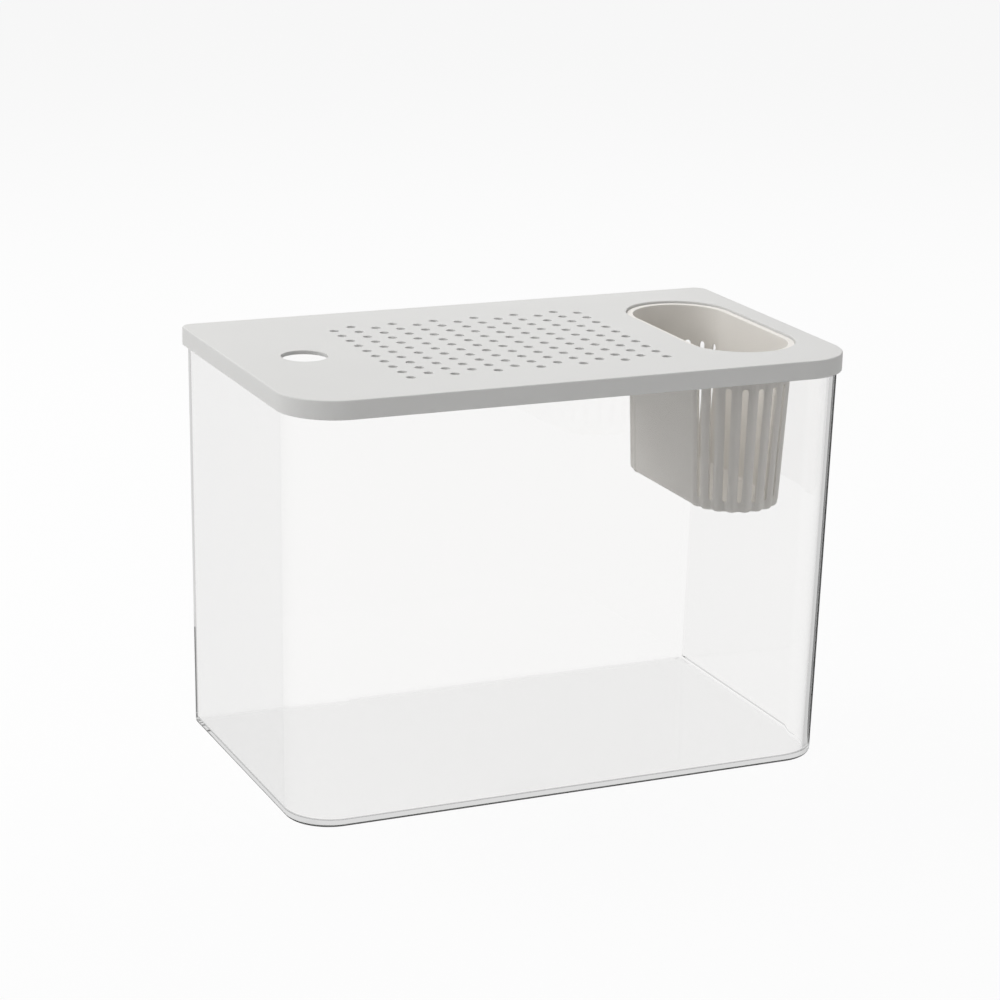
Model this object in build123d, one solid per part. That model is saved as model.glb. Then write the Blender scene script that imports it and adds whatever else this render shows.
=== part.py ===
"""Small moulded-plastic fish tank with a lift-off perforated lid and a hanging plant basket.

Millimetres. Origin at the centre of the base, on the surface that the tank stands on.
+X runs along the length towards the plant basket, +Y towards the back, +Z up.
"""
from build123d import *
import math
import os

# Tank: rim outline, height, walls and corners
TANK_LENGTH = 295.2
TANK_WIDTH = 168.2
TANK_HEIGHT = 212.0
TANK_WALL = 2.0
TANK_FLOOR = 3.2
TANK_DRAFT = 3.1  # how far each wall leans in between the rim and the base
TANK_FRONT_RADIUS = 25.8  # at the rim, inside and out; the draft makes the corners tighter below
TANK_REAR_RADIUS = 5.7
BASE_EDGE_RADIUS = 2.4
FLOOR_EDGE_RADIUS = 2.4

# Lid: plate, skirt and the gap that lets the skirt slip over the rim
LID_PLATE = 2.0
LID_SKIRT = 2.0
LID_SKIRT_DEPTH = 9.4
LID_RIM_GAP = 0.4
LID_REAR_RADIUS = 6.8
LID_EDGE_CHAMFER = 0.6
SKIRT_EDGE_CHAMFER = 0.4

# Feed hole: round and plain, near the left end of the lid
FEED_HOLE_RADIUS = 11.5
FEED_HOLE_INSET = 37.0  # from the lid's left end to the hole's centre
FEED_HOLE_SHIFT = 2.5  # towards the back
HOLE_EDGE_CHAMFER = 0.4  # feed hole and planter recess, at the lid's top

# Vent field: staggered columns, as many as fit between feed hole and planter
VENT_RADIUS = 2.35
VENT_SIDES = 8  # each round hole is drawn with this many flats
VENT_PITCH = 11.38
VENT_TO_PLANTER = 23.4  # from the last column's centres to the planter recess
VENT_TO_FEED_HOLE = 16.0  # least distance from a column's centres to the feed hole
VENT_TO_SIDE = 28.0  # least distance from a row's centres to the lid's long sides

# Planter recess: stadium, long way across the lid, sunk with a ledge under the flange
PLANTER_INSET = 41.1  # from the lid's right end to the recess centre
PLANTER_STRAIGHT = 63.0  # distance between the centres of the two round ends
RECESS_RADIUS = 29.0
RECESS_DEPTH = 2.8
RECESS_WALL = 1.8
LEDGE_THICKNESS = 1.6

# Plant basket: flange, drafted cup and floor
FLANGE_THICKNESS = 1.6
FLANGE_GAP = 0.3
MOUTH_RADIUS = 25.3
FLANGE_EDGE_CHAMFER = 0.4
BASKET_WALL = 1.6
BASKET_FLOOR = 1.8
BASKET_DEPTH = 82.9  # below the flange
BASKET_DRAFT = 3.9  # how far the cup narrows on each side over its depth
BASKET_LEDGE_GAP = 0.6
BASKET_BASE_CHAMFER = 1.7

# Slots and ribs round each end of the basket
SLOT_COUNT = 9
SLOT_TOP_WIDTH = 3.2
SLOT_BASE_WIDTH = 2.4
SLOT_TOP_DROP = 17.2  # from the flange down to the top of a slot
SLOT_BASE_RISE = 5.5  # from the underside of the basket up to the foot of a slot
FLUTE_DEPTH = 0.8  # round groove that each slot lies in, down to the underside
RIB_WIDTH = 5.0
RIB_PROUD = 0.9
RIB_ROOT = 1.0  # how deep a rib is rooted in the wall
RIB_TOP_DROP = 12.0  # from the flange down to the top of a rib
BOW_FLATS = 3  # the small arcs of ribs, flutes and slot ends are drawn with this many flats

# Places that follow from the sizes above
LID_OVERHANG = LID_RIM_GAP + LID_SKIRT
LID_LENGTH = TANK_LENGTH + 2 * LID_OVERHANG
LID_WIDTH = TANK_WIDTH + 2 * LID_OVERHANG
LID_TOP = TANK_HEIGHT + LID_PLATE
SKIRT_FOOT = LID_TOP - LID_SKIRT_DEPTH
FEED_HOLE_X = FEED_HOLE_INSET - LID_LENGTH / 2
PLANTER_X = LID_LENGTH / 2 - PLANTER_INSET
LEDGE_TOP = LID_TOP - RECESS_DEPTH
LEDGE_FOOT = LEDGE_TOP - LEDGE_THICKNESS
FLANGE_TOP = LEDGE_TOP + FLANGE_THICKNESS
CUP_RADIUS = MOUTH_RADIUS + BASKET_WALL
BASKET_BASE = LEDGE_TOP - BASKET_DEPTH
END_FLATS = 2 * SLOT_COUNT + 1  # one flat of the cup's round end for each slot and each rib
FLAT_DEG = 180 / END_FLATS
FLAT_DISTANCE = CUP_RADIUS * math.cos(math.radians(FLAT_DEG / 2))  # from the round end's axis
CUP_TAPER_DEG = math.degrees(math.atan2(BASKET_DRAFT, BASKET_DEPTH))
TANK_TAPER_DEG = math.degrees(math.atan2(TANK_DRAFT, TANK_HEIGHT))


def corner_plan(length, width, front_radius, rear_radius):
    """Rectangle with one radius on its two front corners and another on its two rear corners."""
    plan = Rectangle(length, width)
    plan = fillet(plan.vertices().group_by(Axis.Y)[0], front_radius)
    return fillet(plan.vertices().group_by(Axis.Y)[-1], rear_radius)


def stadium(radius):
    """Stadium outline across the lid, centred on the planter's axis."""
    return Pos(PLANTER_X, 0) * SlotOverall(PLANTER_STRAIGHT + 2 * radius, 2 * radius, rotation=90)


def drafted(plan, top, foot, taper, edge_radius):
    """Plug that narrows from a plan at a top height down to a foot height, rounded along its lower edge."""
    plug = extrude(Pos(0, 0, top) * plan, foot - top, taper=taper)
    return fillet(plug.edges().group_by(Axis.Z)[0], edge_radius)


def make_tank():
    """Open-topped box with drafted walls, rounded along the edges of its floor."""
    taken = 2 * TANK_WALL
    outer = corner_plan(TANK_LENGTH, TANK_WIDTH, TANK_FRONT_RADIUS, TANK_REAR_RADIUS)
    inner = corner_plan(TANK_LENGTH - taken, TANK_WIDTH - taken, TANK_FRONT_RADIUS, TANK_REAR_RADIUS)
    shell = drafted(outer, TANK_HEIGHT, 0, TANK_TAPER_DEG, BASE_EDGE_RADIUS)
    return shell - drafted(inner, TANK_HEIGHT, TANK_FLOOR, TANK_TAPER_DEG, FLOOR_EDGE_RADIUS)


def vent_places():
    """Centres of the vent holes, in columns beside the planter, every second one half a pitch back."""
    last_x = PLANTER_X - RECESS_RADIUS - VENT_TO_PLANTER
    first_x = FEED_HOLE_X + FEED_HOLE_RADIUS + VENT_TO_FEED_HOLE
    columns = int((last_x - first_x) / VENT_PITCH) + 1
    rows = int((LID_WIDTH - 2 * VENT_TO_SIDE) / VENT_PITCH)
    places = []
    for column in range(columns):
        stagger = VENT_PITCH / 4 if (columns - 1 - column) % 2 else -VENT_PITCH / 4
        for row in range(rows):
            y = (row - (rows - 1) / 2) * VENT_PITCH + stagger
            places.append((last_x - column * VENT_PITCH, y))
    return places


def rim_edges(part, x, reach):
    """Top edges of the holes in a part that lie within reach of a place along its length."""
    top = part.edges().group_by(Axis.Z)[-1]
    return [edge for edge in top if abs(edge.bounding_box().center().X - x) < reach]


def make_lid():
    """Skirted cover with vent field, feed hole and the sunk opening for the basket."""
    front = TANK_FRONT_RADIUS + LID_OVERHANG
    plan = corner_plan(LID_LENGTH, LID_WIDTH, front, LID_REAR_RADIUS)
    cover = extrude(Pos(0, 0, SKIRT_FOOT) * plan, LID_SKIRT_DEPTH)
    cover = chamfer(cover.edges().group_by(Axis.Z)[-1], LID_EDGE_CHAMFER)
    cover = chamfer(cover.edges().group_by(Axis.Z)[0], SKIRT_EDGE_CHAMFER)
    taken = 2 * LID_SKIRT
    inner_rear = LID_REAR_RADIUS - LID_SKIRT
    hollow = corner_plan(LID_LENGTH - taken, LID_WIDTH - taken, front - LID_SKIRT, inner_rear)
    cover -= extrude(Pos(0, 0, SKIRT_FOOT) * hollow, LID_SKIRT_DEPTH - LID_PLATE)

    well = stadium(RECESS_RADIUS + RECESS_WALL)
    cover += extrude(Pos(0, 0, LEDGE_FOOT) * well, TANK_HEIGHT - LEDGE_FOOT)
    cover -= extrude(Pos(0, 0, LEDGE_TOP) * stadium(RECESS_RADIUS), RECESS_DEPTH)
    feed = Pos(FEED_HOLE_X, FEED_HOLE_SHIFT) * Circle(FEED_HOLE_RADIUS)
    cover -= extrude(Pos(0, 0, TANK_HEIGHT) * feed, LID_PLATE)
    cover = chamfer(rim_edges(cover, PLANTER_X, RECESS_RADIUS + HOLE_EDGE_CHAMFER), HOLE_EDGE_CHAMFER)
    cover = chamfer(rim_edges(cover, FEED_HOLE_X, FEED_HOLE_RADIUS), HOLE_EDGE_CHAMFER)

    opening = stadium(CUP_RADIUS + BASKET_LEDGE_GAP)
    cover -= extrude(Pos(0, 0, LEDGE_FOOT) * opening, LEDGE_THICKNESS)
    vents = Sketch() + [Pos(x, y) * RegularPolygon(VENT_RADIUS, VENT_SIDES) for x, y in vent_places()]
    return cover - extrude(Pos(0, 0, TANK_HEIGHT) * vents, LID_PLATE)


def bow(half_width, height):
    """Points of an arc that rises by a height over a width, from its +X end to its -X end."""
    radius = (half_width**2 + height**2) / (2 * height)
    reach = math.asin(half_width / radius)
    turns = [reach * (1 - 2 * n / BOW_FLATS) for n in range(BOW_FLATS + 1)]
    return [(radius * math.sin(turn), radius * math.cos(turn) - radius + height) for turn in turns]


def outline(points):
    """Flat face with straight sides through the points."""
    return make_face(Polyline(*points, close=True))


def cup_plan(radius):
    """Stadium outline whose round ends have one flat for each slot and each rib."""
    turns = [math.radians(FLAT_DEG * n) for n in range(END_FLATS + 1)]
    rear = [(radius * math.cos(turn), PLANTER_STRAIGHT / 2 + radius * math.sin(turn)) for turn in turns]
    front = [(-x, -y) for x, y in rear]
    return Pos(PLANTER_X, 0) * outline(rear + front)


def cup(radius, foot):
    """Drafted plug from the flange's underside down to a foot height."""
    return extrude(Pos(0, 0, LEDGE_TOP) * cup_plan(radius), foot - LEDGE_TOP, taper=CUP_TAPER_DEG)


def along_wall(face, top):
    """Bar of a flat face, from a height down to the basket's underside, leaning in with the front wall."""
    wall_y = -PLANTER_STRAIGHT / 2 - FLAT_DISTANCE + BASKET_DRAFT * (LEDGE_TOP - top) / BASKET_DEPTH
    run = Vector(0, BASKET_DRAFT, -BASKET_DEPTH)
    length = run.length * (top - BASKET_BASE) / BASKET_DEPTH
    return extrude(Pos(PLANTER_X, wall_y, top) * face, length, dir=run.normalized())


def rib():
    """One upright rounded rib in the middle of the front end, its foot cut back at 45 degrees."""
    half = RIB_WIDTH / 2
    crown = [(x, -y) for x, y in bow(half, RIB_PROUD)]
    bar = along_wall(outline(crown + [(-half, RIB_ROOT), (half, RIB_ROOT)]), LEDGE_TOP - RIB_TOP_DROP)
    foot_y = -PLANTER_STRAIGHT / 2 - FLAT_DISTANCE + BASKET_DRAFT - RIB_PROUD + BASKET_BASE_CHAMFER
    return split(bar, Plane(origin=(PLANTER_X, foot_y, BASKET_BASE), z_dir=(0, 1, 1)), keep=Keep.TOP)


def flute_cutter():
    """Round groove down the middle of the front end, as wide as a slot's top."""
    half = SLOT_TOP_WIDTH / 2
    hollow = bow(half, FLUTE_DEPTH)
    return along_wall(outline(hollow + [(-half, -RIB_PROUD), (half, -RIB_PROUD)]), LEDGE_TOP - SLOT_TOP_DROP)


def slot_cutter():
    """One slot in the middle of the front end: rounded at both ends, wider at the top."""
    top_half, foot_half = SLOT_TOP_WIDTH / 2, SLOT_BASE_WIDTH / 2
    top = LEDGE_TOP - SLOT_TOP_DROP - top_half
    foot = BASKET_BASE + SLOT_BASE_RISE + foot_half
    upper = [(x, top + y) for x, y in bow(top_half, top_half)]
    lower = [(-x, foot - y) for x, y in bow(foot_half, foot_half)]
    start_y = -PLANTER_STRAIGHT / 2 - CUP_RADIUS - RIB_PROUD
    plane = Plane(origin=(PLANTER_X, start_y, 0), x_dir=(1, 0, 0), z_dir=(0, -1, 0))
    return extrude(plane * outline(upper + lower), -(RIB_PROUD + BASKET_DRAFT + 2 * BASKET_WALL))


def round_ends(shape, angles):
    """Copies of a front-end shape, turned to each angle about the axes of both round ends."""
    to_axis = Pos(-PLANTER_X, PLANTER_STRAIGHT / 2) * shape
    front = [Pos(PLANTER_X, -PLANTER_STRAIGHT / 2) * Rot(0, 0, angle) * to_axis for angle in angles]
    rear = [Pos(PLANTER_X, PLANTER_STRAIGHT / 2) * Rot(0, 0, angle + 180) * to_axis for angle in angles]
    return front + rear


def make_plant_basket():
    """Flanged stadium cup with ribs standing between slots round both ends."""
    flat_angles = [(n - (END_FLATS - 1) / 2) * FLAT_DEG for n in range(END_FLATS)]
    rib_angles, slot_angles = flat_angles[::2], flat_angles[1::2]
    body = cup(CUP_RADIUS, BASKET_BASE + BASKET_BASE_CHAMFER)
    body += extrude(body.faces().sort_by(Axis.Z)[0], BASKET_BASE_CHAMFER, taper=45)
    body += round_ends(rib(), rib_angles)
    body -= round_ends(flute_cutter(), slot_angles)
    ring = stadium(RECESS_RADIUS - FLANGE_GAP) - cup_plan(MOUTH_RADIUS)
    flange = extrude(Pos(0, 0, LEDGE_TOP) * ring, FLANGE_THICKNESS)
    body += chamfer(flange.edges().group_by(Axis.Z)[-1], FLANGE_EDGE_CHAMFER)
    body -= cup(MOUTH_RADIUS, BASKET_BASE + BASKET_FLOOR)
    return body - round_ends(slot_cutter(), slot_angles)


PARTS = {"tank": make_tank, "lid": make_lid, "plant_basket": make_plant_basket}

if __name__ == "__main__":
    os.makedirs("parts", exist_ok=True)
    for name, make in PARTS.items():
        part = make()
        part.label = name
        export_step(part, f"parts/{name}.step")
        box = part.bounding_box()
        print(name, len(part.solids()), "solid", round(part.volume), "mm3", box.min, box.max)
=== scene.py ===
"""Looks of a small clear fish tank with a vented lid and a hanging plant basket.

Everything is in metres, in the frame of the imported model: the origin is at the centre of the tank's base,
+X runs along the length towards the plant basket, +Y towards the back and +Z up.
"""
from __future__ import annotations

import logging
import math
from dataclasses import dataclass
from enum import Enum

import bmesh
import bpy
from mathutils import Matrix, Vector

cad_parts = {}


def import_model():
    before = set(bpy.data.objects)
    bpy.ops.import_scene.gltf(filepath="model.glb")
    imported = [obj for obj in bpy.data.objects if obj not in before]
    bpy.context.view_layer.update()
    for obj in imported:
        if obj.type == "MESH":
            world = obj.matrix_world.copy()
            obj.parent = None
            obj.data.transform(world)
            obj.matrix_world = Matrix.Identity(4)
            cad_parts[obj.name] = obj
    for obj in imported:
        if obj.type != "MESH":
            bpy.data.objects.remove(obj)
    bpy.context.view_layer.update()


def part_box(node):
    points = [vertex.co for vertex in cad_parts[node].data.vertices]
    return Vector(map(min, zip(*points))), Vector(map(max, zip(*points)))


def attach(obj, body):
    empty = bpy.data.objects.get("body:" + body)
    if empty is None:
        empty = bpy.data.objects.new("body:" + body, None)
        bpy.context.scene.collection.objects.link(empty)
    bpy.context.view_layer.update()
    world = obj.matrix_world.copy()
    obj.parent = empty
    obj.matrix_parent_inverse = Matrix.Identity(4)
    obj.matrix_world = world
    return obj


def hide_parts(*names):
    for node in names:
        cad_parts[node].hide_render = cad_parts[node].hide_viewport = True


LOG = logging.getLogger("fish_tank")
MM = 0.001
PHOTO_SIDE_PX = 1000
WELD_DISTANCE = 2e-7
WARM_GREY = (0.70, 0.697, 0.684)
PALE_STONE = (0.85, 0.823, 0.78)

Edges = list[bmesh.types.BMEdge]
Profile = list[tuple[float, float]]
Ramp = tuple[tuple[float, float], ...]


class Finish(Enum):
    """The finishes that the pieces are dressed in, by the name of their material slot."""

    CLEAR = "clear_plastic"
    LID = "lid_plastic"
    BASKET = "basket_plastic"


@dataclass
class NodeBoard:
    """Adds and wires the nodes of one node tree.

    Args:
        tree: The node tree that the nodes go into.
    """

    tree: bpy.types.NodeTree

    def add(self, kind: str, **settings: object) -> bpy.types.Node:
        """Add a node and set its properties and plain inputs.

        Args:
            kind: Blender's name of the node's type.
            settings: Properties of the node; a name that ends with _in sets the input of that name.

        Returns:
            The new node.
        """
        node = self.tree.nodes.new(kind)
        for name, value in settings.items():
            if name.endswith("_in"):
                node.inputs[name[:-3].replace("_", " ")].default_value = value
            else:
                setattr(node, name, value)
        return node

    def wire(self, source: bpy.types.NodeSocket, target: bpy.types.NodeSocket) -> None:
        """Link an output to an input."""
        self.tree.links.new(source, target)

    def math(self, operation: str, *values: bpy.types.NodeSocket | float) -> bpy.types.NodeSocket:
        """Add a Math node fed by sockets or numbers.

        Args:
            operation: The Math node's operation.
            values: A socket or a number for each input, in order.

        Returns:
            The node's output socket.
        """
        node = self.add("ShaderNodeMath", operation=operation)
        for place, value in zip(node.inputs, values):
            if isinstance(value, bpy.types.NodeSocket):
                self.wire(value, place)
            else:
                place.default_value = value
        return node.outputs[0]

    def at_least(self, count: bpy.types.NodeSocket, number: int) -> bpy.types.NodeSocket:
        """A socket that is 1 where a whole count has reached a number, and else 0."""
        return self.math("GREATER_THAN", count, number - 0.5)

    def fewer(self, count: bpy.types.NodeSocket, number: int) -> bpy.types.NodeSocket:
        """A socket that is 1 where a whole count is below a number, and else 0."""
        return self.math("LESS_THAN", count, number - 0.5)


class SurfaceEffects:
    """Shader node groups that more than one finish uses. Each is made once.

    Attributes:
        GRAIN: Name of the group with the mould's texture.
        HANDLING: Name of the group with the marks of hands and cloths.
        NOISE_SHARE: How much the noise counts against the pits in the texture's height.
    """

    GRAIN = "mould_grain"
    HANDLING = "handling_marks"
    NOISE_SHARE = 0.7

    @classmethod
    def _group(cls, name: str, inputs: dict[str, float], outputs: list[str]) -> tuple:
        """Start a group with float inputs and outputs.

        Args:
            name: The group's name.
            inputs: Each input's name and usual value.
            outputs: The outputs' names.

        Returns:
            The group, a board for its nodes, its input node and its output node.
        """
        group = bpy.data.node_groups.new(name, "ShaderNodeTree")
        for label, usual in inputs.items():
            socket = group.interface.new_socket(label, in_out="INPUT", socket_type="NodeSocketFloat")
            socket.default_value = usual
        for label in outputs:
            group.interface.new_socket(label, in_out="OUTPUT", socket_type="NodeSocketFloat")
        board = NodeBoard(group)
        return group, board, board.add("NodeGroupInput"), board.add("NodeGroupOutput")

    @classmethod
    def grain(cls) -> bpy.types.NodeTree:
        """Fine spark-eroded texture of a matte moulding, with a slow drift of tone.

        Returns:
            A group with inputs Grain Scale and Drift Scale and outputs Height and Drift.
        """
        if cls.GRAIN in bpy.data.node_groups:
            return bpy.data.node_groups[cls.GRAIN]
        usual = {"Grain Scale": 2200.0, "Drift Scale": 14.0}
        group, board, start, end = cls._group(cls.GRAIN, usual, ["Height", "Drift"])
        place = board.add("ShaderNodeTexCoord")
        grain = board.add("ShaderNodeTexNoise", Detail_in=3.0, Roughness_in=0.6)
        board.wire(place.outputs["Object"], grain.inputs["Vector"])
        board.wire(start.outputs["Grain Scale"], grain.inputs["Scale"])
        pits = board.add("ShaderNodeTexVoronoi", feature="SMOOTH_F1")
        board.wire(place.outputs["Object"], pits.inputs["Vector"])
        board.wire(start.outputs["Grain Scale"], pits.inputs["Scale"])
        height = board.math("MULTIPLY_ADD", grain.outputs["Fac"], cls.NOISE_SHARE, pits.outputs["Distance"])
        board.wire(height, end.inputs["Height"])
        drift = board.add("ShaderNodeTexNoise", Detail_in=2.0, Roughness_in=0.5)
        board.wire(place.outputs["Object"], drift.inputs["Vector"])
        board.wire(start.outputs["Drift Scale"], drift.inputs["Scale"])
        board.wire(drift.outputs["Fac"], end.inputs["Drift"])
        return group

    @classmethod
    def handling(cls) -> bpy.types.NodeTree:
        """Faint smears left by handling and wiping.

        Returns:
            A group with the input Smear Scale and the output Smear, from 0 to 1.
        """
        if cls.HANDLING in bpy.data.node_groups:
            return bpy.data.node_groups[cls.HANDLING]
        group, board, start, end = cls._group(cls.HANDLING, {"Smear Scale": 9.0}, ["Smear"])
        place = board.add("ShaderNodeTexCoord")
        smear = board.add("ShaderNodeTexNoise", Detail_in=4.0, Roughness_in=0.55, Distortion_in=0.6)
        board.wire(place.outputs["Object"], smear.inputs["Vector"])
        board.wire(start.outputs["Smear Scale"], smear.inputs["Scale"])
        soft = board.add("ShaderNodeMapRange", From_Min_in=0.45, From_Max_in=0.75)
        board.wire(smear.outputs["Fac"], soft.inputs["Value"])
        board.wire(soft.outputs["Result"], end.inputs["Smear"])
        return group


@dataclass(frozen=True)
class MattePlastic:
    """Opaque moulded plastic with a fine matte texture.

    Args:
        finish: The slot that the finish is for.
        colour: Base colour, linear.
        colour_drift: How much of the colour the slow drift takes away at most.
        roughness: Roughness between the marks.
        sheen_roughness: Roughness where hands have polished the grain.
        grain_depth: Height of the grain in metres.
        grain_strength: Share of that height which shows.
        specular: Strength of the plain shine.
    """

    finish: Finish
    colour: tuple[float, float, float]
    colour_drift: float = 0.035
    roughness: float = 0.56
    sheen_roughness: float = 0.46
    grain_depth: float = 0.04 * MM
    grain_strength: float = 0.35
    specular: float = 0.4

    def material(self) -> bpy.types.Material:
        """Make the material.

        Returns:
            The new material, named after its slot.
        """
        material = bpy.data.materials.new(self.finish.value)
        material.use_nodes = True
        board = NodeBoard(material.node_tree)
        shader = material.node_tree.nodes["Principled BSDF"]
        shader.inputs["Specular IOR Level"].default_value = self.specular
        grain = board.add("ShaderNodeGroup", node_tree=SurfaceEffects.grain())
        marks = board.add("ShaderNodeGroup", node_tree=SurfaceEffects.handling())
        tone = board.add("ShaderNodeMix", data_type="RGBA")
        tone.inputs["A"].default_value = (*self.colour, 1.0)
        shade = 1.0 - self.colour_drift
        tone.inputs["B"].default_value = (*(part * shade for part in self.colour), 1.0)
        board.wire(grain.outputs["Drift"], tone.inputs["Factor"])
        board.wire(tone.outputs["Result"], shader.inputs["Base Color"])
        rough = board.add("ShaderNodeMapRange", To_Min_in=self.roughness, To_Max_in=self.sheen_roughness)
        board.wire(marks.outputs["Smear"], rough.inputs["Value"])
        board.wire(rough.outputs["Result"], shader.inputs["Roughness"])
        bump = board.add("ShaderNodeBump", Strength_in=self.grain_strength, Distance_in=self.grain_depth)
        board.wire(grain.outputs["Height"], bump.inputs["Height"])
        board.wire(bump.outputs["Normal"], shader.inputs["Normal"])
        return material


@dataclass(frozen=True)
class ClearPlastic:
    """Polished clear moulded plastic that lamps shine through, with painted shade along the foot of its
    outside.

    Args:
        finish: The slot that the finish is for.
        colour: Colour of the plastic, linear.
        ior: Index of refraction.
        roughness: Roughness of the clean surface.
        smear_roughness: Roughness where it has been wiped.
        lamp_share: How much of a lamp's light one surface passes.
        turns: Reflections after which light that is piped along a wall leaves it.
        foot_painted_shade: Painted shade: the grey that the rounding right over the table passes where it is
            seen from outside, standing in for the dark line where the tank meets the table.
        painted_shade_height: How high that painted shade reaches.
    """

    finish: Finish = Finish.CLEAR
    colour: tuple[float, float, float] = (1.0, 0.998, 0.995)
    ior: float = 1.49
    roughness: float = 0.0
    smear_roughness: float = 0.03
    lamp_share: float = 0.96
    turns: int = 3
    foot_painted_shade: float = 0.04
    painted_shade_height: float = 1.7 * MM

    def material(self) -> bpy.types.Material:
        """Make the material.

        Returns:
            The new material, named after its slot.
        """
        material = bpy.data.materials.new(self.finish.value)
        material.use_nodes = True
        board = NodeBoard(material.node_tree)
        shader = material.node_tree.nodes["Principled BSDF"]
        shader.inputs["Transmission Weight"].default_value = 1.0
        shader.inputs["IOR"].default_value = self.ior
        marks = board.add("ShaderNodeGroup", node_tree=SurfaceEffects.handling())
        rough = board.add("ShaderNodeMapRange", To_Min_in=self.roughness, To_Max_in=self.smear_roughness)
        board.wire(marks.outputs["Smear"], rough.inputs["Value"])
        board.wire(rough.outputs["Result"], shader.inputs["Roughness"])
        path = board.add("ShaderNodeLightPath")
        place = board.add("ShaderNodeTexCoord")
        parts = board.add("ShaderNodeSeparateXYZ")
        board.wire(place.outputs["Object"], parts.inputs["Vector"])
        # Painted shade: where the camera looks straight at the outside within this height of the table, the
        # plastic passes only a dark grey, for the dark line along the tank's foot.
        foot = board.math("LESS_THAN", parts.outputs["Z"], self.painted_shade_height)
        painted_shade_mix = board.add("ShaderNodeMix", data_type="RGBA")
        painted_shade_mix.inputs["A"].default_value = (*self.colour, 1.0)
        painted_shade_mix.inputs["B"].default_value = (*(self.foot_painted_shade,) * 3, 1.0)
        board.wire(board.math("MULTIPLY", foot, path.outputs["Is Camera Ray"]), painted_shade_mix.inputs["Factor"])
        board.wire(painted_shade_mix.outputs["Result"], shader.inputs["Base Color"])
        passed = board.math("MULTIPLY", path.outputs["Is Shadow Ray"], self.lamp_share)
        freed = board.at_least(path.outputs["Glossy Depth"], self.turns)
        board.wire(board.math("SUBTRACT", 1.0, board.math("MAXIMUM", passed, freed)), shader.inputs["Alpha"])
        return material


@dataclass(frozen=True)
class RayTone:
    """How bright the set looks to each kind of ray.

    Args:
        seen: To the camera, and straight through the clear walls.
        glanced: Through the clear walls after one reflection, as off the tank's floor.
        piped: After several reflections, as along a corner or inside the tank's floor.
        mirrored: In a reflection.
        contact: What is left of the last two in the shade right under the tank, seen from outside.
    """

    seen: float = 1.0
    glanced: float = 0.57
    piped: float = 0.7
    mirrored: float = 0.8
    contact: float = 0.1

    def wire(
        self, board: NodeBoard, under: bpy.types.NodeSocket | float = 0.0
    ) -> tuple[bpy.types.NodeSocket, bpy.types.NodeSocket]:
        """Add the nodes that tell the rays apart.

        Args:
            board: The board of the floor's or the world's nodes.
            under: A socket that is 1 right under the tank, or 0.

        Returns:
            A socket with the tone, and one that is 1 where the tone counts and 0 for the object's own light.
        """
        path = board.add("ShaderNodeLightPath")
        camera = path.outputs["Is Camera Ray"]
        through = path.outputs["Is Transmission Ray"]
        mirror = board.math("SUBTRACT", path.outputs["Is Glossy Ray"], through)
        clean = board.fewer(path.outputs["Diffuse Depth"], 1)
        once = board.at_least(path.outputs["Glossy Depth"], 1)
        again = board.at_least(path.outputs["Glossy Depth"], 2)
        through_tone = board.math("MULTIPLY_ADD", once, self.glanced - self.seen, self.seen)
        tone = board.math("MULTIPLY", camera, self.seen)
        tone = board.math("ADD", tone, board.math("MULTIPLY", through, through_tone))
        tone = board.math("ADD", tone, board.math("MULTIPLY", mirror, self.mirrored))
        graded = board.add("ShaderNodeMix", data_type="FLOAT")
        board.wire(again, graded.inputs["Factor"])
        board.wire(tone, graded.inputs["A"])
        graded.inputs["B"].default_value = self.piped
        outside = board.math("MULTIPLY", board.fewer(path.outputs["Transmission Depth"], 3), under)
        shaded = board.math("MULTIPLY", board.math("MAXIMUM", again, mirror), outside)
        left = board.math("MULTIPLY_ADD", shaded, self.contact - 1.0, 1.0)
        counts = board.math("MAXIMUM", camera, board.math("MAXIMUM", through, mirror))
        return board.math("MULTIPLY", graded.outputs["Result"], left), board.math("MULTIPLY", counts, clean)


@dataclass(frozen=True)
class SoftLamp:
    """One rectangular soft lamp that points at the object's middle.

    Args:
        name: The lamp's name.
        place: Where it hangs.
        side: Length of its sides.
        watts: Its power.
    """

    name: str
    place: tuple[float, float, float]
    side: float
    watts: float

    def hang(self, aim: Vector) -> bpy.types.Object:
        """Add the lamp to the scene. Light that is piped along a wall doesn't see it.

        Args:
            aim: The point that it faces.

        Returns:
            The lamp's object.
        """
        light = bpy.data.lights.new(self.name, "AREA")
        light.shape = "SQUARE"
        light.size = self.side
        light.energy = self.watts
        light.use_nodes = True
        board = NodeBoard(light.node_tree)
        path = board.add("ShaderNodeLightPath")
        glow = light.node_tree.nodes["Emission"]
        board.wire(board.fewer(path.outputs["Glossy Depth"], 2), glow.inputs["Strength"])
        lamp = bpy.data.objects.new(self.name, light)
        lamp.location = self.place
        lamp.rotation_euler = (aim - Vector(self.place)).to_track_quat("-Z", "Y").to_euler()
        lamp.visible_camera = False
        lamp.visible_transmission = False
        bpy.context.scene.collection.objects.link(lamp)
        return lamp


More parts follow.
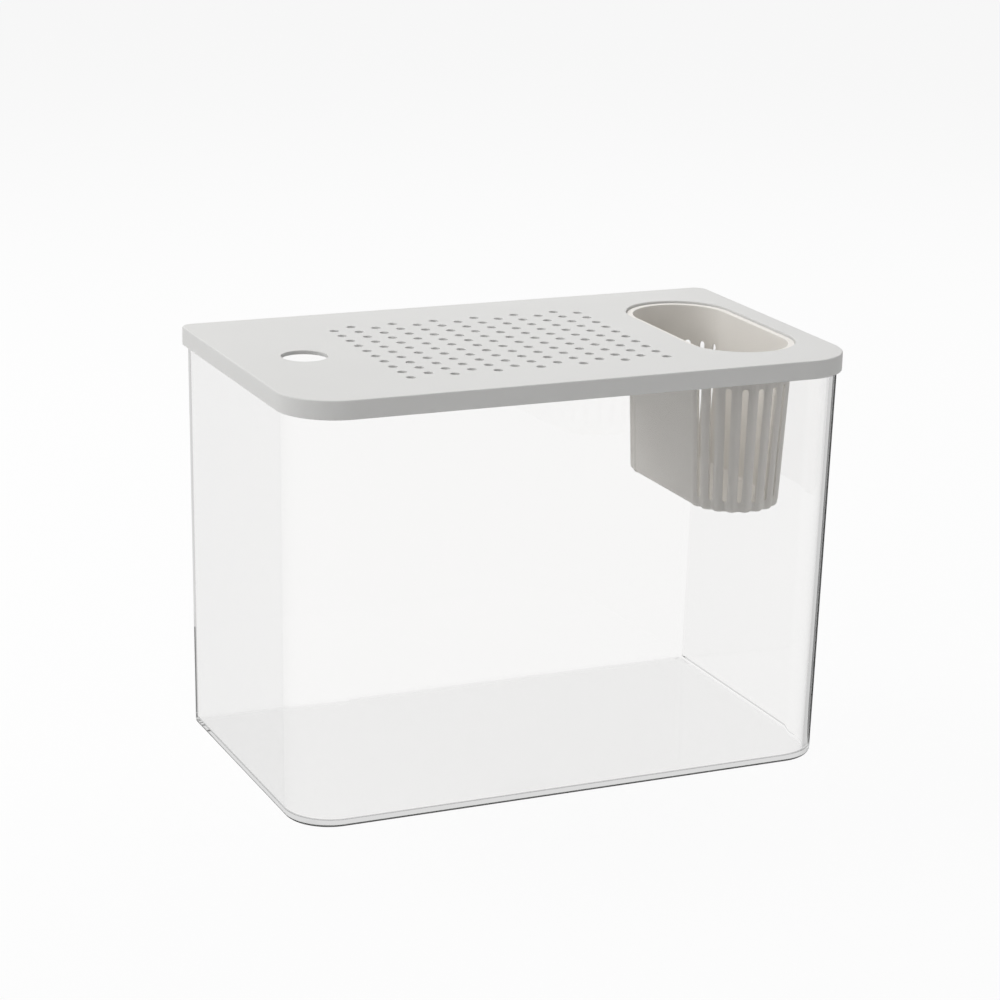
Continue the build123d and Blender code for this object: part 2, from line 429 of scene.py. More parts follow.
@dataclass(frozen=True)
class PhotoCamera:
    """The camera that took the photograph, solved from the lid's edges and its vents.

    Args:
        place: Its centre.
        focal_px: Focal length in pixels of the photograph.
        yaw: Turn about +Z from looking along +Y towards +X, in radians.
        pitch: Downward tilt in radians.
        roll: Turn about its own axis in radians.
        sensor_mm: Width of its sensor.
        sight: How far it sees.
    """

    place: tuple[float, float, float] = (-0.5914, -1.28665, 0.5450)
    focal_px: float = 2888.1
    yaw: float = 0.42603
    pitch: float = 0.28498
    roll: float = 0.025235
    sensor_mm: float = 36.0
    sight: float = 50.0

    def stand(self) -> bpy.types.Object:
        """Add the camera and make it the scene's own.

        Returns:
            The camera's object.
        """
        lens = bpy.data.cameras.new("photo_camera")
        lens.sensor_width = self.sensor_mm
        lens.lens = self.focal_px * self.sensor_mm / PHOTO_SIDE_PX
        lens.clip_end = self.sight
        turn = Matrix.Rotation(-self.yaw, 4, "Z") @ Matrix.Rotation(math.pi / 2 - self.pitch, 4, "X")
        camera = bpy.data.objects.new("photo_camera", lens)
        camera.matrix_world = Matrix.Translation(self.place) @ turn @ Matrix.Rotation(self.roll, 4, "Z")
        bpy.context.scene.collection.objects.link(camera)
        bpy.context.scene.camera = camera
        return camera


@dataclass
class Studio:
    """Plain white set with soft lamps.

    Args:
        ambient: Strength of the world's even light on the object.
        floor_colour: Grey of the floor where it catches the object's shadow, linear.
        floor_shine: Share of the floor's own glow, the rest being that grey.
        floor_radius: Radius of the floor's disc.
        floor_flats: The flats that it is drawn with.
        floor_gap: How far it lies under the tank.
        shade_inset: How far the shade under the tank stays in from the tank's sides.
        card_x: Where the dark card stands, to the right of the tank.
        card_span: Where its front and back edges stand along Y.
        card_height: Its height.
        card_toe: Front corner, next to the tank, of the part of it that lies on the floor.
        aim: The point that the lamps face.
        tones: The set's brightness for each kind of ray.
        lamps: The lamps.
    """

    ambient: float = 0.1
    floor_colour: float = 0.86
    floor_shine: float = 0.92
    floor_radius: float = 4.0
    floor_flats: int = 96
    floor_gap: float = 0.2 * MM
    shade_inset: float = 2.0 * MM
    card_x: float = 0.2
    card_span: tuple[float, float] = (-0.042, 0.2)
    card_height: float = 0.24
    card_toe: tuple[float, float] = (0.144, -0.067)
    aim: tuple[float, float, float] = (0.0, 0.0, 0.12)
    tones: RayTone = RayTone()
    lamps: tuple[SoftLamp, ...] = (
        SoftLamp("top_lamp", (-0.2, 0.0, 1.9), 2.0, 11.0),
        SoftLamp("back_left_lamp", (-0.9, 1.0, 1.3), 1.2, 15.0),
        SoftLamp("back_right_lamp", (0.9, 0.9, 1.4), 1.2, 9.0),
        SoftLamp("upper_left_lamp", (-1.1, -0.6, 1.3), 1.2, 3.6),
        SoftLamp("left_lamp", (-1.75, -0.75, 0.5), 1.0, 6.3),
        SoftLamp("right_lamp", (1.7, -0.9, 0.5), 1.0, 5.7),
        SoftLamp("front_lamp", (-0.7, -2.0, 0.8), 1.0, 1.1),
    )

    def build(self) -> None:
        """Add the floor, the card, the world and the lamps."""
        self._floor()
        self._card()
        self._world()
        for lamp in self.lamps:
            lamp.hang(Vector(self.aim))
        bpy.context.scene.view_settings.view_transform = "Standard"

    @staticmethod
    def _prop(shape: bmesh.types.BMesh, name: str, material: bpy.types.Material) -> bpy.types.Object:
        """Put a part of the set into the scene.

        Args:
            shape: Its mesh, which is used up.
            name: Its name.
            material: Its material.

        Returns:
            The new object.
        """
        prop = put_in_scene(shape, name)
        prop.data.materials.append(material)
        return prop

    def _floor(self) -> None:
        """Add a wide pale disc that shows a little of the object's shadow."""
        shape = bmesh.new()
        under = Matrix.Translation((0.0, 0.0, -self.floor_gap))
        bmesh.ops.create_circle(
            shape, cap_ends=True, segments=self.floor_flats, radius=self.floor_radius, matrix=under
        )
        material = bpy.data.materials.new("studio_floor")
        material.use_nodes = True
        board = NodeBoard(material.node_tree)
        lit = material.node_tree.nodes["Principled BSDF"]
        lit.inputs["Base Color"].default_value = (*(self.floor_colour,) * 3, 1.0)
        lit.inputs["Roughness"].default_value = 1.0
        lit.inputs["Specular IOR Level"].default_value = 0.0
        glow = board.add("ShaderNodeEmission")
        tone, counts = self.tones.wire(board, self._under_tank(board))
        board.wire(tone, glow.inputs["Strength"])
        share = board.math("MULTIPLY", counts, self.floor_shine)
        both = board.add("ShaderNodeMixShader")
        board.wire(share, both.inputs[0])
        board.wire(lit.outputs[0], both.inputs[1])
        board.wire(glow.outputs[0], both.inputs[2])
        board.wire(both.outputs[0], material.node_tree.nodes["Material Output"].inputs["Surface"])
        self._prop(shape, "floor", material)

    def _under_tank(self, board: NodeBoard) -> bpy.types.NodeSocket:
        """Add a mask of the floor right under the tank.

        Args:
            board: The board of the floor's nodes.

        Returns:
            A socket that is 1 under the tank and 0 elsewhere.
        """
        _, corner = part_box("tank")
        place = board.add("ShaderNodeNewGeometry")
        parts = board.add("ShaderNodeSeparateXYZ")
        board.wire(place.outputs["Position"], parts.inputs["Vector"])
        inside = [
            board.math("LESS_THAN", board.math("ABSOLUTE", part), reach - self.shade_inset)
            for part, reach in zip(parts.outputs, corner.xy)
        ]
        return board.math("MULTIPLY", *inside)

    def _card(self) -> None:
        """Set up a dark card beside the tank that only shows in what the clear plastic reflects."""
        front, back = self.card_span
        near_x, near_front = self.card_toe
        plan = ((near_x, near_front), (near_x, back), (self.card_x, back), (self.card_x, front))
        shape = bmesh.new()
        corners = [shape.verts.new((x, y, self.floor_gap / 2)) for x, y in plan]
        bmesh.ops.contextual_create(shape, geom=corners)
        far = [edge for edge in shape.edges if set(edge.verts) == set(corners[2:])]
        raised = bmesh.ops.extrude_edge_only(shape, edges=far)
        upper = [part for part in raised["geom"] if isinstance(part, bmesh.types.BMVert)]
        bmesh.ops.translate(shape, verts=upper, vec=(0.0, 0.0, self.card_height))
        material = bpy.data.materials.new("studio_card")
        material.use_nodes = True
        board = NodeBoard(material.node_tree)
        dark = material.node_tree.nodes["Principled BSDF"]
        dark.inputs["Base Color"].default_value = (0.0, 0.0, 0.0, 1.0)
        dark.inputs["Specular IOR Level"].default_value = 0.0
        path = board.add("ShaderNodeLightPath")
        turned = board.at_least(path.outputs["Glossy Depth"], 1)
        few = board.fewer(path.outputs["Glossy Depth"], 3)
        near = board.fewer(path.outputs["Transmission Depth"], 3)
        board.wire(board.math("MULTIPLY", turned, board.math("MULTIPLY", few, near)), dark.inputs["Alpha"])
        card = self._prop(shape, "side_card", material)
        card.visible_camera = False
        card.visible_diffuse = False
        card.visible_shadow = False

    def _world(self) -> None:
        """White behind the object, a plain soft light everywhere else."""
        world = bpy.data.worlds.new("studio")
        bpy.context.scene.world = world
        world.use_nodes = True
        board = NodeBoard(world.node_tree)
        sky = world.node_tree.nodes["Background"]
        tone, counts = self.tones.wire(board)
        strength = board.add("ShaderNodeMix", data_type="FLOAT")
        strength.inputs["A"].default_value = self.ambient
        board.wire(counts, strength.inputs["Factor"])
        board.wire(tone, strength.inputs["B"])
        board.wire(strength.outputs["Result"], sky.inputs["Strength"])
        sky.inputs["Color"].default_value = (1.0, 1.0, 1.0, 1.0)


def put_in_scene(shape: bmesh.types.BMesh, name: str) -> bpy.types.Object:
    """Make an object of a mesh.

    Args:
        shape: The mesh, which is used up.
        name: The object's name.

    Returns:
        The new object.
    """
    mesh = bpy.data.meshes.new(name)
    shape.to_mesh(mesh)
    shape.free()
    made = bpy.data.objects.new(name, mesh)
    bpy.context.scene.collection.objects.link(made)
    return made


@dataclass(frozen=True)
class Bend:
    """A quarter-round edge between an upright and a level surface.

    Args:
        radius: Its radius.
        steps: The flats that it is drawn with.
    """

    radius: float
    steps: int = 4

    def profile(self, level: float, rising: float, inwards: float = 1.0) -> Profile:
        """Points from the upright surface to the level one.

        Args:
            level: Height of the level surface.
            rising: 1 where the level surface is above the upright one, -1 where it is below.
            inwards: 1 where the level surface lies inwards of the upright one, -1 where it lies outwards.

        Returns:
            Pairs of inset and height, the upright end first.
        """
        turns = [math.pi / 2 * step / self.steps for step in range(self.steps + 1)]
        start = level - rising * self.radius
        return [
            (inwards * self.radius * (1 - math.cos(turn)), start + rising * self.radius * math.sin(turn))
            for turn in turns
        ]


@dataclass(frozen=True)
class Round:
    """Circular outline.

    Args:
        centre: Its centre in plan.
        radius: Its radius.
        steps: The flats that it is drawn with.
    """

    centre: tuple[float, float]
    radius: float
    steps: int = 16

    def ring(self, shape: bmesh.types.BMesh, inset: float, height: float) -> Edges:
        """Add the outline to a mesh.

        Args:
            shape: The mesh.
            inset: How far the outline is moved inwards.
            height: Its height.

        Returns:
            Its edges.
        """
        place = Matrix.Translation((*self.centre, height))
        made = bmesh.ops.create_circle(shape, segments=self.steps, radius=self.radius - inset, matrix=place)
        return edges_of(made["verts"])


@dataclass(frozen=True)
class Stadium:
    """Outline of two half circles joined by straight sides along Y.

    Args:
        centre: Its centre in plan.
        straight: Distance between the half circles' centres.
        radius: Radius of the half circles.
        steps: The flats that each half circle is drawn with.
    """

    centre: tuple[float, float]
    straight: float
    radius: float
    steps: int = 48

    def ring(self, shape: bmesh.types.BMesh, inset: float, height: float) -> Edges:
        """Add the outline to a mesh.

        Args:
            shape: The mesh.
            inset: How far the outline is moved inwards.
            height: Its height.

        Returns:
            Its edges.
        """
        turn = Matrix.Rotation(math.pi / (2 * self.steps), 4, "Z")
        radius = self.radius - inset
        made = bmesh.ops.create_circle(shape, segments=2 * self.steps, radius=radius, matrix=turn)
        for side in (-1.0, 1.0):
            end = [vert for vert in made["verts"] if vert.co.y * side > 0]
            bmesh.ops.translate(shape, verts=end, vec=(0.0, side * self.straight / 2, 0.0))
        bmesh.ops.translate(shape, verts=made["verts"], vec=(*self.centre, height))
        return edges_of(made["verts"])


@dataclass(frozen=True)
class RoundedPlan:
    """Rectangle about the origin with one radius on its front corners and another on its rear corners.

    Args:
        length: Its size along X.
        width: Its size along Y.
        front_radius: Radius of the two corners at the front.
        rear_radius: Radius of the two corners at the back.
        front_steps: The flats of a front corner.
        rear_steps: The flats of a rear corner.
    """

    length: float
    width: float
    front_radius: float
    rear_radius: float
    front_steps: int = 24
    rear_steps: int = 10

    def ring(self, shape: bmesh.types.BMesh, inset: float, height: float) -> Edges:
        """Add the outline to a mesh.

        Args:
            shape: The mesh.
            inset: How far the outline is moved inwards.
            height: Its height.

        Returns:
            Its edges.
        """
        older = set(shape.faces)
        place = Matrix.Translation((0.0, 0.0, height))
        made = bmesh.ops.create_grid(shape, x_segments=1, y_segments=1, size=0.5, matrix=place)
        size = (self.length - 2 * inset, self.width - 2 * inset, 1.0)
        bmesh.ops.scale(shape, verts=made["verts"], vec=size)
        corners = ((-1.0, self.front_radius, self.front_steps), (1.0, self.rear_radius, self.rear_steps))
        for side, radius, steps in corners:
            (face,) = set(shape.faces) - older
            ends = [vert for vert in face.verts if vert.co.y * side > 0]
            bmesh.ops.bevel(
                shape, geom=ends, offset=radius - inset, offset_type="OFFSET", segments=steps,
                profile=0.5, affect="VERTICES", material=-1,
            )
        (face,) = set(shape.faces) - older
        edges = list(face.edges)
        bmesh.ops.delete(shape, geom=[face], context="FACES_ONLY")
        return edges


Outline = Round | Stadium | RoundedPlan


def edges_of(verts: list[bmesh.types.BMVert]) -> Edges:
    """List the edges that join the vertices of a new ring, in the same order each run.

    Args:
        verts: The ring's vertices.

    Returns:
        Its edges.
    """
    return list(dict.fromkeys(edge for vert in verts for edge in vert.link_edges))


def close_flat(shape: bmesh.types.BMesh, *rings: Edges) -> None:
    """Fill the level area inside the first ring and leave the rings inside it open.

    Args:
        shape: The mesh that the rings are in.
        rings: The edges of each ring, the outermost first.
    """
    edges = [edge for ring in rings for edge in ring]
    bmesh.ops.triangle_fill(shape, edges=edges, use_beauty=True, use_dissolve=False)


def sleeve(shape: bmesh.types.BMesh, outline: Outline, profile: Profile) -> tuple[Edges, Edges]:
    """Skin an outline along a profile.

    Args:
        shape: The mesh that it goes into.
        outline: The outline.
        profile: Pairs of inset and height.

    Returns:
        The edges of the first ring and of the last one.
    """
    rings = [(outline.ring(shape, inset, height), height) for inset, height in profile]
    for (ring, height), (next_ring, next_height) in zip(rings, rings[1:]):
        if height == next_height:
            close_flat(shape, ring, next_ring)
        else:
            bmesh.ops.bridge_loops(shape, edges=ring + next_ring)
    return rings[0][0], rings[-1][0]


@dataclass(frozen=True)
class Piece:
    """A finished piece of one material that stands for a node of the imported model.

    Args:
        name: The piece's name.
        node: The node that it replaces.
        body: The body that it rides on.
        finish: Its slot.
        crease: Faces that meet more sharply than this many degrees stay sharp.
        flatness: How much more a large face counts for the shading than the small ones beside it.
    """

    name: str
    node: str
    body: str
    finish: Finish
    crease: float = 32.0
    flatness: int = 100

    def place(self, shape: bmesh.types.BMesh, material: bpy.types.Material) -> bpy.types.Object:
        """Turn a mesh into the piece, dress it and let it ride.

        Args:
            shape: The closed mesh, which is used up.
            material: Its material.

        Returns:
            The piece's object.
        """
        bmesh.ops.remove_doubles(shape, verts=shape.verts, dist=WELD_DISTANCE)
        bmesh.ops.recalc_face_normals(shape, faces=shape.faces)
        piece = put_in_scene(shape, self.name)
        mesh = piece.data
        mesh.shade_smooth()
        mesh.set_sharp_from_angle(angle=math.radians(self.crease))
        mesh.materials.append(material)
        weigh = piece.modifiers.new("flat_faces_stay_flat", "WEIGHTED_NORMAL")
        weigh.mode = "FACE_AREA"
        weigh.weight = self.flatness
        weigh.keep_sharp = True
        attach(piece, self.body)
        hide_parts(self.node)
        return piece


@dataclass
class Tank:
    """Open-topped clear box: drafted walls, large front corners and small rear ones.

    Args:
        wall: Thickness of the walls.
        floor: Thickness of the floor.
        draft: How far each wall leans in between the rim and the base.
        front_radius: Radius of the front corners at the rim, inside and outside.
        rear_radius: Radius of the rear corners at the rim, inside and outside.
        base_bend: The rounding under the floor's edge.
        floor_bend: The rounding where the walls meet the floor inside.
        rim_bend: The rounding of the rim.
        piece: The finished piece that it becomes.
    """

    wall: float = 2.0 * MM
    floor: float = 3.2 * MM
    draft: float = 3.1 * MM
    front_radius: float = 25.8 * MM
    rear_radius: float = 5.7 * MM
    base_bend: Bend = Bend(2.4 * MM, 6)
    floor_bend: Bend = Bend(1.6 * MM, 5)
    rim_bend: Bend = Bend(0.5 * MM, 3)
    piece: Piece = Piece("clear_tank", "tank", "tank", Finish.CLEAR)

    def _wall_profile(self, height: float, foot: float, bend: Bend) -> Profile:
        """Work out one side of the walls, from the level floor to the rim.

        Args:
            height: Height of the rim.
            foot: Height of the level floor on that side.
            bend: The rounding between the floor and the wall.

        Returns:
            Pairs of inset and height.
        """
        lean = self.draft / height
        around = [
            (inset + lean * (height - level), level)
            for inset, level in reversed(bend.profile(foot, rising=-1.0))
        ]
        return around + self.rim_bend.profile(height, rising=1.0)

    def build(self, material: bpy.types.Material) -> bpy.types.Object:
        """Model the tank and dress it.

        Args:
            material: Its material.

        Returns:
            The piece's object.
        """
        low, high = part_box(self.piece.node)
        length, width, height = high - low
        outer = RoundedPlan(length, width, self.front_radius, self.rear_radius)
        taken = 2 * self.wall
        inner = RoundedPlan(length - taken, width - taken, self.front_radius, self.rear_radius)
        shape = bmesh.new()
        base, outer_rim = sleeve(shape, outer, self._wall_profile(height, 0.0, self.base_bend))
        inside = self._wall_profile(height, self.floor, self.floor_bend)
        rounded = len(self.rim_bend.profile(height, 1.0))
        mouth = [(-inset, level) for inset, level in inside[-rounded:]]
        floor, inner_rim = sleeve(shape, inner, inside[:-rounded] + mouth)
        close_flat(shape, base)
        close_flat(shape, floor)
        close_flat(shape, outer_rim, inner_rim)
        return self.piece.place(shape, material)


@dataclass
class Lid:
    """Skirted cover with a field of round vents, a feed hole and a sunk opening for the basket.

    Args:
        plate: Thickness of the plate and of the skirt.
        front_radius: Radius of the front corners.
        rear_radius: Radius of the rear corners.
        top_bend: The rounding of the upper edge.
        foot_bend: The rounding of the skirt's lower edge.
        feed_hole: The feed hole's outline.
        hole_bend: The rounding round the feed hole and the recess.
        vent_radius: Radius of a vent.
        vent_pitch: Distance between vents along and across.
        vent_bend: The rounding round a vent.
        columns: Columns of vents.
        rows: Vents in a column.
        last_column: Place along X of the column nearest to the basket.
        recess: The sunk opening's outline.
        recess_depth: Depth of the ledge under the lid's top.
        ledge: Thickness of the ledge.
        well: Thickness of the recess's wall.
        opening_inset: From the recess's wall in to the ledge's edge.
        piece: The finished piece that it becomes.
    """

    plate: float = 2.0 * MM
    front_radius: float = 28.2 * MM
    rear_radius: float = 6.8 * MM
    top_bend: Bend = Bend(0.8 * MM, 4)
    foot_bend: Bend = Bend(0.4 * MM, 3)
    feed_hole: Round = Round((-113.0 * MM, 2.5 * MM), 11.5 * MM, 64)
    hole_bend: Bend = Bend(0.5 * MM, 3)
    vent_radius: float = 2.35 * MM
    vent_pitch: float = 11.38 * MM
    vent_bend: Bend = Bend(0.4 * MM, 2)
    columns: int = 13
    rows: int = 10
    last_column: float = 56.5 * MM
    recess: Stadium = Stadium((108.9 * MM, 0.0), 63.0 * MM, 29.0 * MM)
    recess_depth: float = 2.8 * MM
    ledge: float = 1.6 * MM
    well: float = 1.8 * MM
    opening_inset: float = 1.5 * MM
    piece: Piece = Piece("vented_lid", "lid", "lid", Finish.LID)

    def _vents(self) -> list[Round]:
        """Set out the vents, with every second column half a pitch further back.

        Returns:
            Their outlines.
        """
        places = []
        for column in range(self.columns):
            stagger = self.vent_pitch / 4 * (1 if column % 2 else -1)
            x = self.last_column - column * self.vent_pitch
            for row in range(self.rows):
                y = (row - (self.rows - 1) / 2) * self.vent_pitch + stagger
                places.append(Round((x, y), self.vent_radius))
        return places

    def build(self, material: bpy.types.Material) -> bpy.types.Object:
        """Model the lid and dress it.

        Args:
            material: Its material.

        Returns:
            The piece's object.
        """
        low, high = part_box(self.piece.node)
        length, width, _ = high - low
        top, foot = high.z, low.z
        under = top - self.plate
        plan = RoundedPlan(length, width, self.front_radius, self.rear_radius)
        shape = bmesh.new()
        over_edge = self.top_bend.profile(top, rising=1.0)[::-1]
        foot_edge = self.foot_bend.profile(foot, rising=-1.0)
        inner_foot = [(self.plate - inset, level) for inset, level in reversed(foot_edge)]
        rim, inner = sleeve(shape, plan, over_edge + foot_edge + inner_foot + [(self.plate, under)])
        ledge_top = top - self.recess_depth
        ledge_foot = ledge_top - self.ledge
        steps = [(0.0, ledge_top), (self.opening_inset, ledge_top), (self.opening_inset, ledge_foot)]
        steps += [(-self.well, ledge_foot), (-self.well, under)]
        holes = [(self.feed_hole, self.hole_bend, [(0.0, under)])]
        holes += [(vent, self.vent_bend, [(0.0, under)]) for vent in self._vents()]
        holes += [(self.recess, self.hole_bend, steps)]
        tops, unders = [rim], [inner]
        for outline, bend, rest in holes:
            edge = bend.profile(top, rising=1.0, inwards=-1.0)[::-1]
            upper, lower = sleeve(shape, outline, edge + rest)
            tops.append(upper)
            unders.append(lower)
        close_flat(shape, *tops)
        close_flat(shape, *unders)
        return self.piece.place(shape, material)


@dataclass
class PlantBasket:
    """Flanged stadium cup with rounded ribs standing between slots and flutes round both ends.

    Args:
        outline: The cup's outline under the flange.
        flange_radius: Radius of the flange's round ends.
        mouth_radius: Radius of the mouth's round ends.
        flange: Thickness of the flange.
        floor: Thickness of the cup's floor.
        draft: How far the cup narrows on each side down to its base.
        slots: Slots in each round end.
        rib_width: Width of a rib.
        rib_proud: How far a rib stands out.
        rib_drop: From the flange down to the ribs' tops.
        rib_ramp: How the ribs start: drops below their tops, each with the share of a rib that is reached.
        flute_width: Width of the flute that a slot lies in.
        flute_depth: Depth of that flute.
        flute_ramp: How the flutes start below the slots' tops, in the same way.
        slot_top_radius: Half the width of a slot at its top.
        slot_foot_radius: Half the width of a slot at its foot.
        slot_drop: From the flange down to the slots' tops.
        slot_rise: From the underside up to the slots' feet.
        slot_flats: The flats that a slot's round end is drawn with, all the way round.
        slot_reach: How far the slots' cutters go inwards and outwards of the cup's wall.
        flange_bend: The rounding of the flange's upper edges.
        base_bend: The rounding under the cup.
        floor_bend: The rounding where the wall meets the floor inside.
        piece: The finished piece that it becomes.
    """

    outline: Stadium = Stadium((108.9 * MM, 0.0), 63.0 * MM, 26.9 * MM, 304)
    flange_radius: float = 28.7 * MM
    mouth_radius: float = 25.3 * MM
    flange: float = 1.6 * MM
    floor: float = 1.8 * MM
    draft: float = 3.9 * MM
    slots: int = 9
    rib_width: float = 5.0 * MM
    rib_proud: float = 0.9 * MM
    rib_drop: float = 12.0 * MM
    rib_ramp: Ramp = ((0.5 * MM, 0.8), (1.2 * MM, 1.0))
    flute_width: float = 3.3 * MM
    flute_depth: float = 0.8 * MM
    flute_ramp: Ramp = ((0.7 * MM, 0.75), (1.6 * MM, 1.0))
    slot_top_radius: float = 1.6 * MM
    slot_foot_radius: float = 1.2 * MM
    slot_drop: float = 17.2 * MM
    slot_rise: float = 5.5 * MM
    slot_flats: int = 20
    slot_reach: tuple[float, float] = (5.0 * MM, 3.0 * MM)
    flange_bend: Bend = Bend(0.5 * MM, 3)
    base_bend: Bend = Bend(2.4 * MM, 5)
    floor_bend: Bend = Bend(1.5 * MM, 4)
    piece: Piece = Piece("slotted_plant_basket", "plant_basket", "plant_basket", Finish.BASKET)

    @property
    def pitch(self) -> float:
        """Angle from one slot to the next, in radians: slots and ribs share each half circle evenly."""
        return 2 * math.pi / (2 * self.slots + 1)

    @staticmethod
    def _bow(across: float, width: float, rise: float) -> float:
        """Work out the height of a shallow arc.

        Args:
            across: Distance from its middle.
            width: Its width.
            rise: Its height in the middle.

        Returns:
            The height, or 0 beyond its ends.
        """
        half = width / 2
        if across >= half:
            return 0.0
        radius = (half**2 + rise**2) / (2 * rise)
        return math.sqrt(radius**2 - across**2) - radius + rise

    def _relief(self, turn: float, ribs: float, flutes: float) -> float:
        """Work out how far the wall stands out of the plain cup.

        Args:
            turn: Angle round the end from its crown, in radians.
            ribs: Share of the ribs' height that is reached.
            flutes: Share of the flutes' depth that is reached.

        Returns:
            The distance, less than 0 in a flute.
        """
        radius = self.outline.radius
        to_slot = abs((turn + self.pitch / 2) % self.pitch - self.pitch / 2) * radius
        to_rib = abs(turn % self.pitch - self.pitch / 2) * radius
        rib = self._bow(to_rib, self.rib_width, self.rib_proud)
        return ribs * rib - flutes * self._bow(to_slot, self.flute_width, self.flute_depth)

    def _wall_ring(
        self, shape: bmesh.types.BMesh, inset: float, level: float, ribs: float, flutes: float
    ) -> Edges:
        """Add the cup's outline with its ribs pushed out and its flutes pushed in.

        Args:
            shape: The mesh that it goes into.
            inset: How far the plain outline is moved inwards.
            level: Its height.
            ribs: Share of the ribs' height that is reached.
            flutes: Share of the flutes' depth that is reached.

        Returns:
            Its edges.
        """
        edges = self.outline.ring(shape, inset, level)
        centre_x, centre_y = self.outline.centre
        for vert in dict.fromkeys(vert for edge in edges for vert in edge.verts):
            side = math.copysign(1.0, vert.co.y - centre_y)
            axis = Vector((centre_x, centre_y + side * self.outline.straight / 2, level))
            arm = vert.co - axis
            turn = math.atan2(arm.x, side * arm.y)
            vert.co = axis + arm * (1 + self._relief(turn, ribs, flutes) / arm.length)
        return edges

    def _outer_wall(self, shape: bmesh.types.BMesh, top: float, base: float) -> tuple[Edges, Edges]:
        """Skin the cup's outside from under the flange to the underside.

        Args:
            shape: The mesh that it goes into.
            top: Height of the flange's underside.
            base: Height of the cup's underside.

        Returns:
            The edges of the highest ring and of the lowest one.
        """
        lean = self.draft / (top - base)
        rib_top, slot_top = top - self.rib_drop, top - self.slot_drop
        rows = [(0.0, top, 0.0, 0.0), (0.0, rib_top, 0.0, 0.0)]
        rows += [(0.0, rib_top - drop, share, 0.0) for drop, share in self.rib_ramp]
        rows += [(0.0, slot_top, 1.0, 0.0)]
        rows += [(0.0, slot_top - drop, 1.0, share) for drop, share in self.flute_ramp]
        rows += [(inset, level, 1.0, 1.0) for inset, level in self.base_bend.profile(base, rising=-1.0)]
        rings = [
            self._wall_ring(shape, inset + lean * (top - level), level, ribs, flutes)
            for inset, level, ribs, flutes in rows
        ]
        for upper, lower in zip(rings, rings[1:]):
            bmesh.ops.bridge_loops(shape, edges=upper + lower)
        return rings[0], rings[-1]

    def _slot_cutters(self, top: float, base: float) -> bpy.types.Object:
        """Model rounded wedges, one through each slot of both ends.

        Args:
            top: Height of the flange's underside.
            base: Height of the cup's underside.

        Returns:
            An object that holds them all.
        """
        shape = bmesh.new()
        centre_x, centre_y = self.outline.centre
        front = centre_y - self.outline.straight / 2
        inwards, outwards = self.slot_reach
        reach = (self.outline.radius - self.draft - inwards, self.outline.radius + outwards)
        ends = (
            (top - self.slot_drop - self.slot_top_radius, self.slot_top_radius),
            (base + self.slot_rise + self.slot_foot_radius, self.slot_foot_radius),
        )
        for distance in reach:
            for level, radius in ends:
                place = Matrix.Translation((centre_x, front - distance, level))
                turn = Matrix.Rotation(math.pi / 2, 4, "X")
                bmesh.ops.create_circle(shape, segments=self.slot_flats, radius=radius, matrix=place @ turn)
        bmesh.ops.convex_hull(shape, input=shape.verts)
        axis = Vector((centre_x, front, 0.0))
        first = -(self.slots - 1) / 2 * self.pitch
        bmesh.ops.rotate(shape, verts=shape.verts, cent=axis, matrix=Matrix.Rotation(first, 3, "Z"))
        bmesh.ops.spin(
            shape, geom=shape.verts[:] + shape.edges[:] + shape.faces[:], cent=axis, axis=(0.0, 0.0, 1.0),
            angle=-2 * first, steps=self.slots - 1, use_duplicate=True,
        )
        again = bmesh.ops.duplicate(shape, geom=shape.verts[:] + shape.edges[:] + shape.faces[:])
        verts = [part for part in again["geom"] if isinstance(part, bmesh.types.BMVert)]
        middle = Vector((centre_x, centre_y, 0.0))
        bmesh.ops.rotate(shape, verts=verts, cent=middle, matrix=Matrix.Rotation(math.pi, 3, "Z"))
        bmesh.ops.recalc_face_normals(shape, faces=shape.faces)
        return put_in_scene(shape, "slot_cutters")

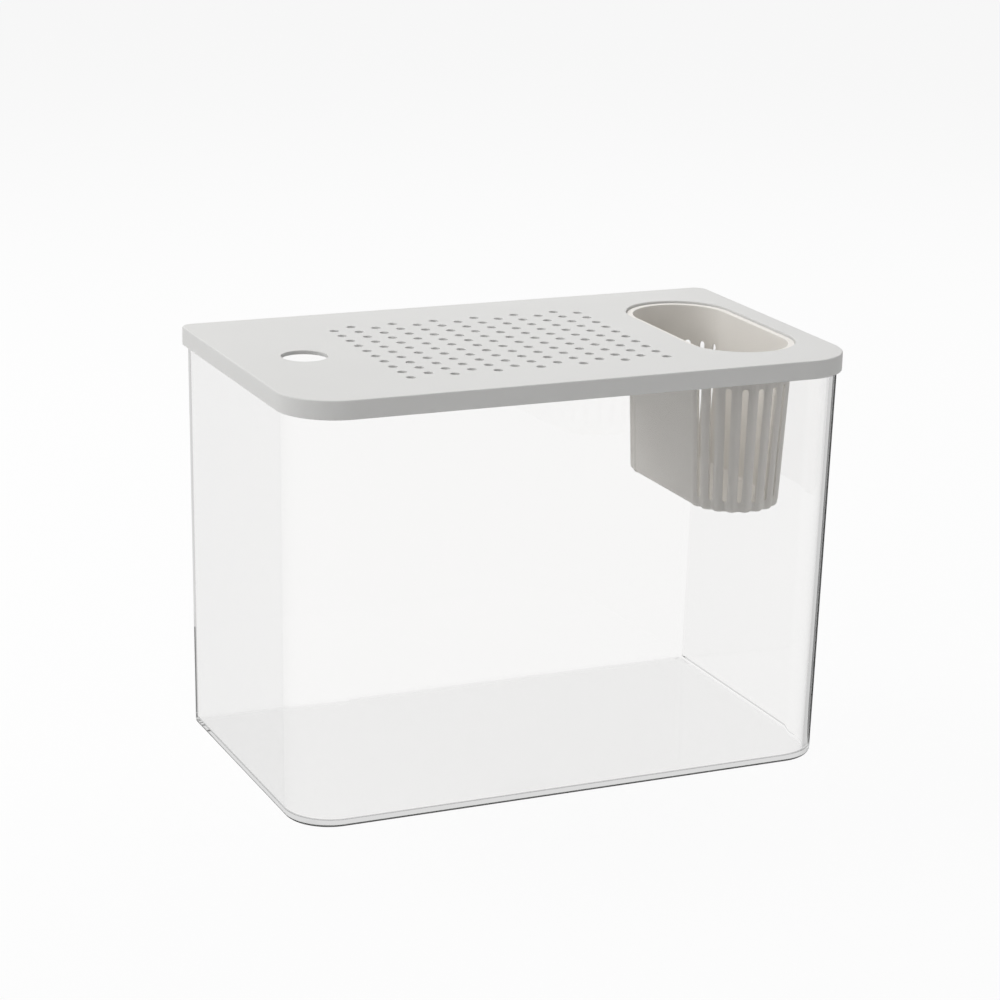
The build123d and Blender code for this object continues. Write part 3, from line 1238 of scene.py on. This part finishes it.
    def build(self, material: bpy.types.Material) -> bpy.types.Object:
        """Model the basket and dress it.

        Args:
            material: Its material.

        Returns:
            The piece's object.
        """
        low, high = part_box(self.piece.node)
        base, brim = low.z, high.z
        top = brim - self.flange
        shape = bmesh.new()
        under_flange, sole = self._outer_wall(shape, top, base)
        close_flat(shape, sole)
        centre, straight = self.outline.centre, self.outline.straight
        flange = Stadium(centre, straight, self.flange_radius)
        mouth = Stadium(centre, straight, self.mouth_radius)
        round_over = self.flange_bend.profile(brim, rising=1.0)[::-1]
        flange_top, flange_foot = sleeve(shape, flange, round_over + [(0.0, top)])
        close_flat(shape, flange_foot, under_flange)
        lean = self.draft / (top - base)
        floor = base + self.floor
        mouth_edge = self.flange_bend.profile(brim, rising=1.0, inwards=-1.0)[::-1]
        down = [
            (inset + lean * (top - level), level)
            for inset, level in self.floor_bend.profile(floor, rising=-1.0)
        ]
        mouth_top, inner_floor = sleeve(shape, mouth, mouth_edge + [(0.0, top)] + down)
        close_flat(shape, inner_floor)
        close_flat(shape, flange_top, mouth_top)
        bmesh.ops.recalc_face_normals(shape, faces=shape.faces)
        return self.piece.place(cut(shape, self._slot_cutters(top, base)), material)


def cut(shape: bmesh.types.BMesh, cutters: bpy.types.Object) -> bmesh.types.BMesh:
    """Take the cutters away from a closed mesh.

    Args:
        shape: The closed mesh, which is used up.
        cutters: The cutters' object, which is removed.

    Returns:
        The cut mesh.
    """
    whole = put_in_scene(shape, "uncut")
    modifier = whole.modifiers.new("slots", "BOOLEAN")
    modifier.operation = "DIFFERENCE"
    modifier.solver = "EXACT"
    modifier.object = cutters
    graph = bpy.context.evaluated_depsgraph_get()
    result = bpy.data.meshes.new_from_object(whole.evaluated_get(graph))
    cut_shape = bmesh.new()
    cut_shape.from_mesh(result)
    for holder in (whole, cutters):
        mesh = holder.data
        bpy.data.objects.remove(holder)
        bpy.data.meshes.remove(mesh)
    bpy.data.meshes.remove(result)
    return cut_shape


def main() -> None:
    """Build the set and every piece."""
    logging.basicConfig(level=logging.INFO, format="%(name)s: %(message)s")
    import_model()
    PhotoCamera().stand()
    Studio().build()
    dressed = (
        (Tank(), ClearPlastic()),
        (Lid(), MattePlastic(Finish.LID, WARM_GREY)),
        (PlantBasket(), MattePlastic(Finish.BASKET, PALE_STONE)),
    )
    for part, plastic in dressed:
        made = part.build(plastic.material())
        LOG.info("%s: %d faces, rides on %s", made.name, len(made.data.polygons), part.piece.body)


if __name__ == "__main__":
    main()
